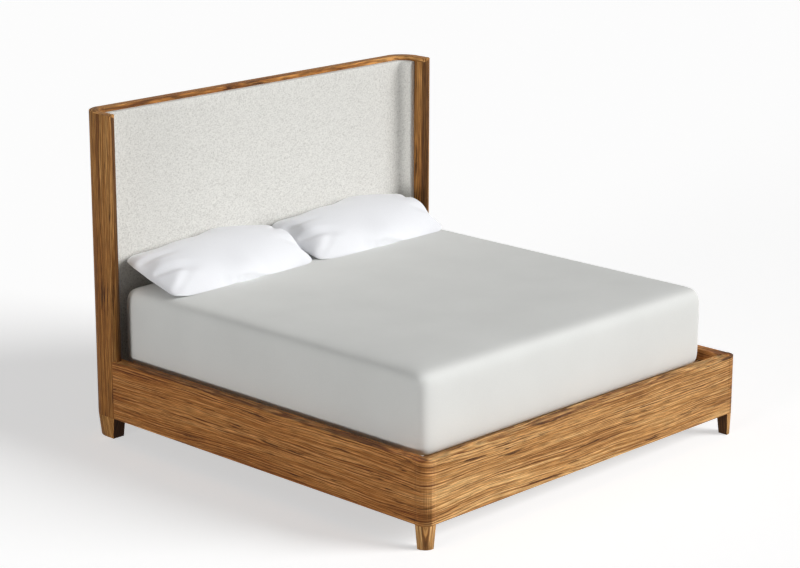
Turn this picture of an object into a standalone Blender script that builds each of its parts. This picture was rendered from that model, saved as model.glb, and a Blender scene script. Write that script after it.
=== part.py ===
"""Shelter bed for a king mattress: a rounded timber shell with a padded lining, a rail frame on tapered
feet, a slatted deck on a centre beam, the mattress and two pillows.

Metres, +Z up. X runs across the bed and +Y from the foot to the head. The origin is on the floor, at the
middle of the bed's plan. "left" is the -X side, seen from the foot.
"""

import math

import bmesh
import bpy
from mathutils import Matrix, Vector

# Height of the headboard
BED_HEIGHT = 1.560

# Clearances
FIT_GAP = 0.0003
CUT_OVERRUN = 0.004
BORE_CLEARANCE = 0.0003

# Small edges
ARRIS = 0.003
ARRIS_STEPS = 2
ROUND_PROFILE_SHARE = 0.5
ARC_STEPS = 10
ROUND_STEPS = 16

# Rails
RAIL_BOTTOM = 0.106
RAIL_TOP = 0.389
RAIL_THICKNESS = 0.063
RAIL_CORNER_RADIUS = 0.048

# Headboard shell
SHELL_THICKNESS = 0.048
SHELL_CORNER_RADIUS = 0.119
WING_DEPTH = 0.215

# Padded lining
PAD_THICKNESS = 0.035
PAD_DROP = 0.021
PAD_BOTTOM = 0.322
PAD_END_SETBACK = 0.073
PAD_EDGE_RADIUS = 0.010
PAD_EDGE_STEPS = 3
PAD_BOARD_THICKNESS = 0.006
PAD_BOARD_MARGIN = 0.040

# Cross rail at the head
HEAD_RAIL_THICKNESS = 0.028

# Feet
FOOT_TOP_WIDTH = 0.062
FOOT_FLOOR_WIDTH = 0.049
FOOT_INSET = 0.004
REAR_FOOT_TOP_WIDTH = 0.070
REAR_FOOT_FLOOR_WIDTH = 0.063
REAR_FOOT_FRONT_TAPER = 0.022
REAR_FOOT_BACK_TAPER = 0.012

# Slatted deck
DECK_TOP = 0.335
SLAT_THICKNESS = 0.020
SLAT_WIDTH = 0.090
SLAT_COUNT = 13
SLAT_SIDE_CLEARANCE = 0.003
FIRST_SLAT_SETBACK = 0.030
LAST_SLAT_SETBACK = 0.012
LEDGE_WIDTH = 0.030
LEDGE_HEIGHT = 0.045
LEDGE_END_SETBACK = 0.012

# Centre beam and its props
BEAM_WIDTH = 0.045
BEAM_HEIGHT = 0.085
HANGER_PLATE = 0.003
HANGER_SEAT = 0.050
HANGER_RISE = 0.060
HANGER_SIDE_MARGIN = 0.010
PROP_WIDTH = 0.045
PROP_SPACING = 0.560
PROP_COUNT = 3

# Levelling feet under the props
LEVEL_DISC_RADIUS = 0.019
LEVEL_DISC_HEIGHT = 0.008
LEVEL_STEM_RADIUS = 0.004
LEVEL_STEM_LENGTH = 0.032

# Steel brackets and bolts
BRACKET_PLATE = 0.003
BRACKET_HEIGHT = 0.100
BRACKET_BASE = 0.140
RAIL_BRACKET_REACH = 0.085
WING_BRACKET_REACH = 0.040
BRACKET_JOG_CLEARANCE = 0.002
BRACE_REACH = 0.085
BOLT_HEAD_RADIUS = 0.008
BOLT_HEAD_HEIGHT = 0.005
BOLT_SHANK_RADIUS = 0.003
BOLT_GRIP = 0.024
BOLT_EDGE_DISTANCE = 0.020

# Mattress
MATTRESS_WIDTH = 1.930
MATTRESS_LENGTH = 1.952
MATTRESS_SIDE_GAP = 0.042
MATTRESS_FOOT_GAP = 0.059
MATTRESS_HEAD_GAP = 0.053
MATTRESS_TOP = 0.723
MATTRESS_CROWN = 0.008
MATTRESS_CORNER_RADIUS = 0.060
MATTRESS_TOP_RADIUS = 0.050
MATTRESS_BASE_RADIUS = 0.030
MATTRESS_CORNER_STEPS = 6
MATTRESS_ROUND_STEPS = 5
MATTRESS_TOP_RING_SHARES = (0.08, 0.25, 0.55)

# Pillows
PILLOW_SIDE_CLEARANCE = 0.047
PILLOW_DEPTH = 0.430
PILLOW_CROWN = 0.060
PILLOW_BELLY = 0.072
PILLOW_SEAM = 0.004
PILLOW_SEAM_LIFT = 0.022
PILLOW_BETWEEN_GAP = 0.007
PILLOW_PAIR_OFFSET = -0.012
PILLOW_HEAD_CLEARANCE = 0.006
PILLOW_REST_GAP = 0.0008
PILLOW_TILT = math.radians(17.5)
PILLOW_TURN = math.radians(1.0)
PILLOW_ROUND_SHARE = 0.30
PILLOW_END_POWER = 6
PILLOW_SIDE_POWER = 4
PILLOW_GRID = (22, 14)

# Finishes: colour, roughness, metallic
FINISHES = {
    "oiled_timber": ((0.36, 0.19, 0.08), 0.45, 0.0),
    "dark_timber": ((0.17, 0.09, 0.04), 0.45, 0.0),
    "slat_timber": ((0.62, 0.47, 0.30), 0.60, 0.0),
    "plain_steel": ((0.35, 0.35, 0.36), 0.40, 1.0),
    "black_nylon": ((0.03, 0.03, 0.03), 0.50, 0.0),
    "woven_linen": ((0.70, 0.69, 0.66), 0.90, 0.0),
    "knit_ticking": ((0.56, 0.56, 0.55), 0.90, 0.0),
    "white_cotton": ((0.90, 0.90, 0.91), 0.80, 0.0),
    "pad_plywood": ((0.55, 0.42, 0.27), 0.70, 0.0),
}

# Sizes that follow from the mattress
BED_WIDTH = MATTRESS_WIDTH + 2 * (MATTRESS_SIDE_GAP + RAIL_THICKNESS)
FOOT_LENGTH = RAIL_THICKNESS + MATTRESS_FOOT_GAP
HEAD_LENGTH = MATTRESS_HEAD_GAP + PAD_THICKNESS + SHELL_THICKNESS
BED_LENGTH = FOOT_LENGTH + MATTRESS_LENGTH + HEAD_LENGTH
PILLOW_WIDTH = MATTRESS_WIDTH / 2 - PILLOW_SIDE_CLEARANCE

# Places worked out from the sizes
SIDE_X = BED_WIDTH / 2
FOOT_Y = -BED_LENGTH / 2
HEAD_Y = BED_LENGTH / 2
RAIL_INNER_X = SIDE_X - RAIL_THICKNESS
RAIL_INNER_Y = FOOT_Y + RAIL_THICKNESS
NOSE_RADIUS = SHELL_THICKNESS / 2
WING_FRONT_Y = HEAD_Y - WING_DEPTH + NOSE_RADIUS
WING_INNER_X = SIDE_X - SHELL_THICKNESS
SHELL_INNER_Y = HEAD_Y - SHELL_THICKNESS
SHELL_CORNER_X = SIDE_X - SHELL_CORNER_RADIUS
SHELL_CORNER_Y = HEAD_Y - SHELL_CORNER_RADIUS
RAIL_END_Y = WING_FRONT_Y - FIT_GAP
PAD_END_Y = HEAD_Y - WING_DEPTH + PAD_END_SETBACK
PAD_TOP = BED_HEIGHT - PAD_DROP
PAD_FACE_Y = SHELL_INNER_Y - PAD_THICKNESS
HEAD_RAIL_FACE_Y = SHELL_INNER_Y - FIT_GAP - HEAD_RAIL_THICKNESS
SLAT_BOTTOM = DECK_TOP - SLAT_THICKNESS
LEDGE_TOP = SLAT_BOTTOM - FIT_GAP
BEAM_TOP = SLAT_BOTTOM - FIT_GAP
BEAM_BOTTOM = BEAM_TOP - BEAM_HEIGHT
PROP_BASE = LEVEL_DISC_HEIGHT + FIT_GAP
MATTRESS_Y = FOOT_Y + FOOT_LENGTH + MATTRESS_LENGTH / 2
BRACKET_TOP = BRACKET_BASE + BRACKET_HEIGHT
BRACKET_MID = BRACKET_BASE + BRACKET_HEIGHT / 2

SIDES = (("left", -1), ("right", 1))


def clear_scene():
    """Take every object out of the open scene."""
    for item in list(bpy.data.objects):
        bpy.data.objects.remove(item, do_unlink=True)


def finish(name):
    """The material of one finish, made once."""
    made = bpy.data.materials.get(name)
    if made:
        return made
    colour, roughness, metallic = FINISHES[name]
    made = bpy.data.materials.new(name)
    made.use_nodes = True
    shader = made.node_tree.nodes["Principled BSDF"]
    shader.inputs["Base Color"].default_value = (*colour, 1.0)
    shader.inputs["Roughness"].default_value = roughness
    shader.inputs["Metallic"].default_value = metallic
    return made


def add_piece(name, form, finish_name, smooth_angle=None):
    """Put a bmesh into the scene as one named object with its own material."""
    bmesh.ops.recalc_face_normals(form, faces=form.faces)
    mesh = bpy.data.meshes.new(name)
    form.to_mesh(mesh)
    form.free()
    mesh.materials.append(finish(finish_name))
    piece = bpy.data.objects.new(name, mesh)
    bpy.context.scene.collection.objects.link(piece)
    if smooth_angle is not None:
        mesh.shade_smooth()
        mesh.set_sharp_from_angle(angle=smooth_angle)
    return piece


def move_origin(piece, place):
    """Set an object's origin to a place without moving its shape."""
    piece.data.transform(Matrix.Translation(-Vector(place)))
    piece.location = place


def arc(centre, radius, start, end, steps=ARC_STEPS):
    """Points of an arc in plan, from one angle in degrees to another, both ends kept."""
    points = []
    for step in range(steps + 1):
        angle = math.radians(start + (end - start) * step / steps)
        points.append((centre[0] + radius * math.cos(angle), centre[1] + radius * math.sin(angle)))
    return points


def mirrored(points, side):
    """A left-hand outline as it is, or its mirror image on the right."""
    return [(point[0] * -side, point[1]) for point in points]


def loft(base, base_z, top, top_z):
    """A closed body between two outlines with the same number of points, one above the other."""
    form = bmesh.new()
    low = [form.verts.new((x, y, base_z)) for x, y in base]
    high = [form.verts.new((x, y, top_z)) for x, y in top]
    form.faces.new(list(reversed(low)))
    form.faces.new(high)
    for index in range(len(low)):
        following = (index + 1) % len(low)
        form.faces.new((low[index], low[following], high[following], high[index]))
    return form


def prism(outline, base_z, top_z):
    """An upright extrusion of a plan outline."""
    return loft(outline, base_z, outline, top_z)


def box(low, high):
    """A plain box between two corners."""
    outline = [(low[0], low[1]), (high[0], low[1]), (high[0], high[1]), (low[0], high[1])]
    return prism(outline, low[2], high[2])


def at(value, target):
    """Whether a coordinate lies on a place."""
    return abs(value - target) < FIT_GAP / 2


def ease(form, edges, width=ARRIS, steps=ARRIS_STEPS):
    """Take the sharpness off some edges."""
    bmesh.ops.bevel(form, geom=edges, offset=width, offset_type="OFFSET", segments=steps,
                    profile=ROUND_PROFILE_SHARE, affect="EDGES", clamp_overlap=True)


def level_edges(form, heights, joint_planes):
    """The level edges at some heights, without those on the (axis, place) planes that meet a neighbour."""
    chosen = []
    for edge in form.edges:
        ends = [corner.co for corner in edge.verts]
        at_height = any(all(at(end.z, height) for end in ends) for height in heights)
        at_joint = any(all(at(end[axis], place) for end in ends) for axis, place in joint_planes)
        if at_height and not at_joint:
            chosen.append(edge)
    return chosen


def turned(profile, centre, steps=ROUND_STEPS):
    """A closed body turned about an upright axis from (radius, height) points, bottom to top."""
    form = bmesh.new()
    rings = []
    for radius, height in profile:
        ring = arc(centre, radius, 0, 360 - 360 / steps, steps - 1)
        rings.append([form.verts.new((x, y, height)) for x, y in ring])
    form.faces.new(list(reversed(rings[0])))
    form.faces.new(rings[-1])
    for lower, upper in zip(rings, rings[1:]):
        for index in range(steps):
            following = (index + 1) % steps
            form.faces.new((lower[index], lower[following], upper[following], upper[index]))
    return form


def cylinder_along(axis, start, radius, length, steps=ROUND_STEPS):
    """A round bar from a start point along a unit axis."""
    form = turned([(radius, 0), (radius, length)], (0, 0), steps)
    turn = Vector((0, 0, 1)).rotation_difference(Vector(axis)).to_matrix().to_4x4()
    form.transform(Matrix.Translation(Vector(start)) @ turn)
    return form


def add_cutter(name, form):
    """A hidden body that only cuts others."""
    cutter = add_piece(name, form, "plain_steel")
    cutter.hide_render = True
    cutter.display_type = "WIRE"
    return cutter


def cut(piece, cutter):
    """Cut a body out of a piece with a Boolean modifier."""
    modifier = piece.modifiers.new("cut", "BOOLEAN")
    modifier.operation = "DIFFERENCE"
    modifier.solver = "EXACT"
    modifier.object = cutter


def build_rails():
    """Foot rail, rounded corner blocks and the two side rails."""
    rims = (RAIL_BOTTOM, RAIL_TOP)
    rails = {}
    half = RAIL_INNER_X - FIT_GAP
    form = box((-half, FOOT_Y, RAIL_BOTTOM), (half, RAIL_INNER_Y, RAIL_TOP))
    ease(form, level_edges(form, rims, ((0, -half), (0, half))))
    rails["foot"] = add_piece("foot_rail", form, "oiled_timber", math.radians(30))
    for label, side in SIDES:
        outline = [(-RAIL_INNER_X, FOOT_Y)]
        outer = (-SIDE_X + RAIL_CORNER_RADIUS, FOOT_Y + RAIL_CORNER_RADIUS)
        outline += arc(outer, RAIL_CORNER_RADIUS, 270, 180)
        outline += [(-SIDE_X, RAIL_INNER_Y), (-RAIL_INNER_X, RAIL_INNER_Y)]
        form = prism(mirrored(outline, side), RAIL_BOTTOM, RAIL_TOP)
        ease(form, level_edges(form, rims, ((0, side * RAIL_INNER_X), (1, RAIL_INNER_Y))))
        add_piece(f"rail_corner_{label}", form, "oiled_timber", math.radians(30))

        low_x, high_x = sorted((side * SIDE_X, side * RAIL_INNER_X))
        near_y = RAIL_INNER_Y + FIT_GAP
        form = box((low_x, near_y, RAIL_BOTTOM), (high_x, RAIL_END_Y, RAIL_TOP))
        ease(form, level_edges(form, rims, ((1, near_y), (1, RAIL_END_Y))))
        rails[label] = add_piece(f"side_rail_{label}", form, "oiled_timber", math.radians(30))
    return rails


def build_shell():
    """The back panel, bent corners, wings and rounded wing noses of the headboard."""
    rims = (RAIL_BOTTOM, BED_HEIGHT)
    half = SHELL_CORNER_X - FIT_GAP
    form = box((-half, SHELL_INNER_Y, RAIL_BOTTOM), (half, HEAD_Y, BED_HEIGHT))
    ease(form, level_edges(form, rims, ((0, -half), (0, half))))
    add_piece("back_panel", form, "oiled_timber", math.radians(30))
    wings = {}
    for label, side in SIDES:
        centre = (-SHELL_CORNER_X, SHELL_CORNER_Y)
        outline = arc(centre, SHELL_CORNER_RADIUS, 180, 90)
        outline += arc(centre, SHELL_CORNER_RADIUS - SHELL_THICKNESS, 90, 180)
        form = prism(mirrored(outline, side), RAIL_BOTTOM, BED_HEIGHT)
        ease(form, level_edges(form, rims, ((0, side * SHELL_CORNER_X), (1, SHELL_CORNER_Y))))
        add_piece(f"shell_corner_{label}", form, "oiled_timber", math.radians(30))

        low_x, high_x = sorted((side * SIDE_X, side * WING_INNER_X))
        wing_back = SHELL_CORNER_Y - FIT_GAP
        form = box((low_x, WING_FRONT_Y, RAIL_BOTTOM), (high_x, wing_back, BED_HEIGHT))
        ease(form, level_edges(form, rims, ((1, WING_FRONT_Y), (1, wing_back))))
        wings[label] = add_piece(f"wing_{label}", form, "oiled_timber", math.radians(30))

        nose_back = WING_FRONT_Y - FIT_GAP
        outline = arc((-SIDE_X + NOSE_RADIUS, nose_back), NOSE_RADIUS, 180, 360)
        form = prism(mirrored(outline, side), RAIL_TOP + FIT_GAP, BED_HEIGHT)
        ease(form, level_edges(form, (BED_HEIGHT,), ((1, nose_back),)))
        add_piece(f"wing_nose_{label}", form, "dark_timber", math.radians(30))
    return wings


def pad_outline():
    """The lining's plan: its back follows the shell and its face lies one thickness in front."""
    centre = (-SHELL_CORNER_X, SHELL_CORNER_Y)
    back_radius = SHELL_CORNER_RADIUS - SHELL_THICKNESS - FIT_GAP
    face_radius = back_radius + FIT_GAP - PAD_THICKNESS
    left_back = [(-WING_INNER_X + FIT_GAP, PAD_END_Y)] + arc(centre, back_radius, 180, 90)
    left_face = [(-WING_INNER_X + PAD_THICKNESS, PAD_END_Y)] + arc(centre, face_radius, 180, 90)
    back = left_back + mirrored(reversed(left_back), 1)
    face = left_face + mirrored(reversed(left_face), 1)
    return back + list(reversed(face))


def build_lining():
    """The padded lining and the plywood board let into its back."""
    form = prism(pad_outline(), PAD_BOTTOM, PAD_TOP)
    edges = level_edges(form, (PAD_TOP,), ())
    for edge in form.edges:
        ends = [corner.co for corner in edge.verts]
        if all(at(end.y, PAD_END_Y) for end in ends) and not at(ends[0].z, ends[1].z):
            edges.append(edge)
    ease(form, edges, PAD_EDGE_RADIUS, PAD_EDGE_STEPS)
    pad = add_piece("headboard_pad", form, "woven_linen", math.radians(40))

    half = SHELL_CORNER_X - PAD_BOARD_MARGIN
    base, top = PAD_BOTTOM + PAD_BOARD_MARGIN, PAD_TOP - PAD_BOARD_MARGIN
    back_y = SHELL_INNER_Y - FIT_GAP
    front_y = back_y - PAD_BOARD_THICKNESS
    add_piece("pad_board", box((-half, front_y, base), (half, back_y, top)), "pad_plywood")
    low = (-half - FIT_GAP, front_y - FIT_GAP, base - FIT_GAP)
    high = (half + FIT_GAP, back_y + CUT_OVERRUN, top + FIT_GAP)
    cut(pad, add_cutter("pad_board_recess", box(low, high)))


def build_head_rail():
    """The cross rail behind the mattress that carries the head end of the beam."""
    low = (-SHELL_CORNER_X, HEAD_RAIL_FACE_Y, RAIL_BOTTOM)
    high = (SHELL_CORNER_X, SHELL_INNER_Y - FIT_GAP, PAD_BOTTOM - FIT_GAP)
    add_piece("head_rail", box(low, high), "slat_timber")


def foot_plan(width, inset):
    """Plan of a quarter-round front foot on the left, drawn in from the bed's outer faces."""
    near_x = -SIDE_X + inset
    near_y = FOOT_Y + inset
    radius = RAIL_CORNER_RADIUS - inset
    outline = [(near_x + width, near_y)]
    outline += arc((near_x + radius, near_y + radius), radius, 270, 180)
    outline += [(near_x, near_y + width), (near_x + width, near_y + width)]
    return outline


def rear_foot_plan(width, front_taper, back_taper):
    """Plan of a rear foot on the left: its back follows the shell's corner."""
    radius = SHELL_CORNER_RADIUS - back_taper
    outer_x = -SHELL_CORNER_X - radius
    inner_x = outer_x + width
    reach = math.acos((-SHELL_CORNER_X - inner_x) / radius)
    outline = [(inner_x, WING_FRONT_Y + front_taper)]
    outline += [(outer_x, WING_FRONT_Y + front_taper)]
    outline += arc((-SHELL_CORNER_X, SHELL_CORNER_Y), radius, 180, 180 - math.degrees(reach))
    return outline


def build_feet():
    """Four tapered feet, the front pair under the rail corners and the rear pair under the wings."""
    top_z = RAIL_BOTTOM - FIT_GAP
    for label, side in SIDES:
        base = mirrored(foot_plan(FOOT_FLOOR_WIDTH, FOOT_INSET), side)
        top = mirrored(foot_plan(FOOT_TOP_WIDTH, 0), side)
        add_piece(f"front_foot_{label}", loft(base, 0, top, top_z), "oiled_timber", math.radians(30))

        base = mirrored(rear_foot_plan(REAR_FOOT_FLOOR_WIDTH, REAR_FOOT_FRONT_TAPER, REAR_FOOT_BACK_TAPER), side)
        top = mirrored(rear_foot_plan(REAR_FOOT_TOP_WIDTH, 0, 0), side)
        add_piece(f"rear_foot_{label}", loft(base, 0, top, top_z), "oiled_timber", math.radians(30))


def build_deck():
    """Ledges along the side rails and the slats that lie on them."""
    for label, side in SIDES:
        low_x, high_x = sorted((side * (RAIL_INNER_X - FIT_GAP), side * (RAIL_INNER_X - LEDGE_WIDTH)))
        low = (low_x, RAIL_INNER_Y + LEDGE_END_SETBACK, LEDGE_TOP - LEDGE_HEIGHT)
        high = (high_x, RAIL_END_Y - LEDGE_END_SETBACK, LEDGE_TOP)
        add_piece(f"slat_ledge_{label}", box(low, high), "slat_timber")

    half = RAIL_INNER_X - SLAT_SIDE_CLEARANCE
    first = RAIL_INNER_Y + FIRST_SLAT_SETBACK
    last = RAIL_END_Y - LAST_SLAT_SETBACK - SLAT_WIDTH
    for index in range(SLAT_COUNT):
        near = first + (last - first) * index / (SLAT_COUNT - 1)
        low = (-half, near, SLAT_BOTTOM)
        high = (half, near + SLAT_WIDTH, DECK_TOP)
        add_piece(f"slat_{index + 1:02d}", box(low, high), "slat_timber")


def build_hanger(name, wall_y, inward):
    """An angle bracket on a rail that carries one end of the beam."""
    half = BEAM_WIDTH / 2 + HANGER_SIDE_MARGIN
    seat_top = BEAM_BOTTOM - FIT_GAP
    seat_base = seat_top - HANGER_PLATE
    plate_y = wall_y + inward * FIT_GAP
    profile = [
        (plate_y, seat_base),
        (plate_y + inward * HANGER_SEAT, seat_base),
        (plate_y + inward * HANGER_SEAT, seat_top),
        (plate_y + inward * HANGER_PLATE, seat_top),
        (plate_y + inward * HANGER_PLATE, seat_top + HANGER_RISE),
        (plate_y, seat_top + HANGER_RISE),
    ]
    form = bmesh.new()
    near = [form.verts.new((-half, y, z)) for y, z in profile]
    face = form.faces.new(near)
    swept = bmesh.ops.extrude_face_region(form, geom=[face])
    far = [item for item in swept["geom"] if isinstance(item, bmesh.types.BMVert)]
    bmesh.ops.translate(form, verts=far, vec=(2 * half, 0, 0))
    add_piece(name, form, "plain_steel")


def build_beam():
    """The centre beam with its hangers, props and levelling feet."""
    build_hanger("beam_hanger_foot", RAIL_INNER_Y, 1)
    build_hanger("beam_hanger_head", HEAD_RAIL_FACE_Y, -1)
    plate = 2 * FIT_GAP + HANGER_PLATE
    half = BEAM_WIDTH / 2
    low = (-half, RAIL_INNER_Y + plate, BEAM_BOTTOM)
    high = (half, HEAD_RAIL_FACE_Y - plate, BEAM_TOP)
    add_piece("centre_beam", box(low, high), "slat_timber")

    middle = (RAIL_INNER_Y + HEAD_RAIL_FACE_Y) / 2
    prop_half = PROP_WIDTH / 2
    for index in range(PROP_COUNT):
        place_y = middle + PROP_SPACING * (index - (PROP_COUNT - 1) / 2)
        low = (-prop_half, place_y - prop_half, PROP_BASE)
        high = (prop_half, place_y + prop_half, BEAM_BOTTOM - FIT_GAP)
        prop = add_piece(f"beam_prop_{index + 1}", box(low, high), "slat_timber")
        bore_top = PROP_BASE + LEVEL_STEM_LENGTH + BORE_CLEARANCE
        bore = [(LEVEL_STEM_RADIUS + BORE_CLEARANCE, PROP_BASE - CUT_OVERRUN),
                (LEVEL_STEM_RADIUS + BORE_CLEARANCE, bore_top)]
        cut(prop, add_cutter(f"prop_bore_{index + 1}", turned(bore, (0, place_y))))
        profile = [
            (LEVEL_DISC_RADIUS, 0),
            (LEVEL_DISC_RADIUS, LEVEL_DISC_HEIGHT),
            (LEVEL_STEM_RADIUS, LEVEL_DISC_HEIGHT),
            (LEVEL_STEM_RADIUS, LEVEL_DISC_HEIGHT + LEVEL_STEM_LENGTH),
        ]
        foot = add_piece(f"levelling_foot_{index + 1}", turned(profile, (0, place_y)), "black_nylon",
                         math.radians(30))
        move_origin(foot, (0, place_y, 0))


def add_bolt(name, head_seat, axis, holed):
    """A round-headed bolt from its head's seat along an axis, with a bore in each piece it holds."""
    axis = Vector(axis)
    seat = Vector(head_seat)
    head_base = seat - axis * (BOLT_HEAD_HEIGHT + FIT_GAP)
    profile = [
        (BOLT_HEAD_RADIUS, 0),
        (BOLT_HEAD_RADIUS, BOLT_HEAD_HEIGHT),
        (BOLT_SHANK_RADIUS, BOLT_HEAD_HEIGHT),
        (BOLT_SHANK_RADIUS, BOLT_HEAD_HEIGHT + BOLT_GRIP),
    ]
    form = turned(profile, (0, 0))
    turn = Vector((0, 0, 1)).rotation_difference(axis).to_matrix().to_4x4()
    form.transform(Matrix.Translation(head_base) @ turn)
    add_piece(name, form, "plain_steel", math.radians(30))
    bore_start = seat - axis * CUT_OVERRUN
    bore_length = CUT_OVERRUN + BOLT_GRIP + FIT_GAP
    bore = cylinder_along(axis, bore_start, BOLT_SHANK_RADIUS + BORE_CLEARANCE, bore_length)
    cutter = add_cutter(f"{name}_bore", bore)
    for piece in holed:
        cut(piece, cutter)


def build_brackets(rails, wings):
    """Jogged brackets from each side rail to its wing, and angle braces in the foot corners."""
    plate = BRACKET_PLATE
    for label, side in SIDES:
        rail_x = -RAIL_INNER_X + FIT_GAP
        wing_x = -WING_INNER_X + FIT_GAP
        start = RAIL_END_Y - RAIL_BRACKET_REACH
        jog = RAIL_END_Y + BRACKET_JOG_CLEARANCE
        end = RAIL_END_Y + WING_BRACKET_REACH
        outline = [
            (rail_x, start), (rail_x, jog), (wing_x, jog), (wing_x, end),
            (wing_x + plate, end), (wing_x + plate, jog + plate), (rail_x + plate, jog + plate),
            (rail_x + plate, start),
        ]
        form = prism(mirrored(outline, side), BRACKET_BASE, BRACKET_TOP)
        bracket = add_piece(f"rail_bracket_{label}", form, "plain_steel")
        outward = (side, 0, 0)
        rail_seat = (side * (RAIL_INNER_X - FIT_GAP - plate), start + BOLT_EDGE_DISTANCE, BRACKET_MID)
        wing_seat = (side * (WING_INNER_X - FIT_GAP - plate), end - BOLT_EDGE_DISTANCE, BRACKET_MID)
        add_bolt(f"rail_bolt_{label}", rail_seat, outward, (bracket, rails[label]))
        add_bolt(f"wing_bolt_{label}", wing_seat, outward, (bracket, wings[label]))

        near_x, near_y = -RAIL_INNER_X + FIT_GAP, RAIL_INNER_Y + FIT_GAP
        outline = [
            (near_x, near_y), (near_x + BRACE_REACH, near_y), (near_x + BRACE_REACH, near_y + plate),
            (near_x + plate, near_y + plate), (near_x + plate, near_y + BRACE_REACH),
            (near_x, near_y + BRACE_REACH),
        ]
        form = prism(mirrored(outline, side), BRACKET_BASE, BRACKET_TOP)
        brace = add_piece(f"corner_brace_{label}", form, "plain_steel")
        reach = FIT_GAP + BRACE_REACH - BOLT_EDGE_DISTANCE
        side_seat = (side * (RAIL_INNER_X - FIT_GAP - plate), RAIL_INNER_Y + reach, BRACKET_MID)
        foot_seat = (side * (RAIL_INNER_X - reach), near_y + plate, BRACKET_MID)
        add_bolt(f"brace_side_bolt_{label}", side_seat, outward, (brace, rails[label]))
        add_bolt(f"brace_foot_bolt_{label}", foot_seat, (0, -1, 0), (brace, rails["foot"]))


def rounded_plan(half_x, half_y, radius, centre_y):
    """A rectangle with rounded corners in plan."""
    points = []
    corners = ((1, -1, 270), (1, 1, 0), (-1, 1, 90), (-1, -1, 180))
    for sign_x, sign_y, start in corners:
        centre = (sign_x * (half_x - radius), centre_y + sign_y * (half_y - radius))
        points += arc(centre, radius, start, start + 90, MATTRESS_CORNER_STEPS)
    return points


def crown_height(inset):
    """Rise of the mattress's top above its edge, at an inset from the nearest side."""
    span = MATTRESS_WIDTH / 2 - MATTRESS_TOP_RADIUS
    limit = max(MATTRESS_TOP_RING_SHARES)
    share = min(max((inset - MATTRESS_TOP_RADIUS) / span, 0), limit) / limit
    return MATTRESS_CROWN * math.sin(math.pi / 2 * share)


def mattress_rings():
    """Inset from the mattress's sides and height of each ring, from the base up to the crown."""
    base = DECK_TOP + FIT_GAP
    rings = []
    for step in range(MATTRESS_ROUND_STEPS + 1):
        angle = math.pi / 2 * step / MATTRESS_ROUND_STEPS
        inset = MATTRESS_BASE_RADIUS * (1 - math.sin(angle))
        rings.append((inset, base + MATTRESS_BASE_RADIUS * (1 - math.cos(angle))))
    for step in range(MATTRESS_ROUND_STEPS + 1):
        angle = math.pi / 2 * step / MATTRESS_ROUND_STEPS
        inset = MATTRESS_TOP_RADIUS * (1 - math.cos(angle))
        rings.append((inset, MATTRESS_TOP - MATTRESS_TOP_RADIUS * (1 - math.sin(angle))))
    for share in MATTRESS_TOP_RING_SHARES:
        inset = MATTRESS_TOP_RADIUS + (MATTRESS_WIDTH / 2 - MATTRESS_TOP_RADIUS) * share
        rings.append((inset, MATTRESS_TOP + crown_height(inset)))
    return rings


def build_mattress():
    """A foam mattress with rounded sides and a slight crown."""
    form = bmesh.new()
    rings = []
    for inset, height in mattress_rings():
        radius = max(MATTRESS_CORNER_RADIUS - inset, MATTRESS_CORNER_RADIUS / 4)
        plan = rounded_plan(MATTRESS_WIDTH / 2 - inset, MATTRESS_LENGTH / 2 - inset, radius, MATTRESS_Y)
        rings.append([form.verts.new((x, y, height)) for x, y in plan])
    form.faces.new(list(reversed(rings[0])))
    form.faces.new(rings[-1])
    for lower, upper in zip(rings, rings[1:]):
        for index in range(len(lower)):
            following = (index + 1) % len(lower)
            form.faces.new((lower[index], lower[following], upper[following], upper[index]))
    add_piece("mattress", form, "knit_ticking", math.radians(50))


def mattress_height(place):
    """Height of the mattress's top under a place."""
    inset = min(MATTRESS_WIDTH / 2 - abs(place.x), MATTRESS_LENGTH / 2 - abs(place.y - MATTRESS_Y))
    return MATTRESS_TOP + crown_height(inset)


def pillow_point(across, along, face):
    """A point of a pillow's upper (1) or lower (-1) face, from shares of its half width and depth."""
    half_x = PILLOW_WIDTH / 2 * math.sqrt(1 - PILLOW_ROUND_SHARE * along ** 2 / 2)
    half_y = PILLOW_DEPTH / 2 * math.sqrt(1 - PILLOW_ROUND_SHARE * across ** 2 / 2)
    fullness = math.sqrt(max((1 - across ** PILLOW_END_POWER) * (1 - along ** PILLOW_SIDE_POWER), 0))
    depth = PILLOW_CROWN if face > 0 else PILLOW_BELLY
    return Vector((half_x * across, half_y * along, face * (PILLOW_SEAM / 2 + depth * fullness)))


def pillow_form():
    """A closed pillow, lying flat about the origin."""
    columns, rows = PILLOW_GRID
    form = bmesh.new()
    grids = {}
    for face in (1, -1):
        grid = []
        for row in range(rows + 1):
            along = -math.cos(math.pi * row / rows)
            places = [-math.cos(math.pi * column / columns) for column in range(columns + 1)]
            grid.append([form.verts.new(pillow_point(across, along, face)) for across in places])
        grids[face] = grid
        for lower, upper in zip(grid, grid[1:]):
            for column in range(columns):
                form.faces.new((lower[column], lower[column + 1], upper[column + 1], upper[column]))
    rim = [(0, column) for column in range(columns)]
    rim += [(row, columns) for row in range(rows)]
    rim += [(rows, columns - column) for column in range(columns)]
    rim += [(rows - row, 0) for row in range(rows)]
    for (row, column), (next_row, next_column) in zip(rim, rim[1:] + rim[:1]):
        low, low_next = grids[-1][row][column], grids[-1][next_row][next_column]
        high, high_next = grids[1][row][column], grids[1][next_row][next_column]
        form.faces.new((low, low_next, high_next, high))
    return form


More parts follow.
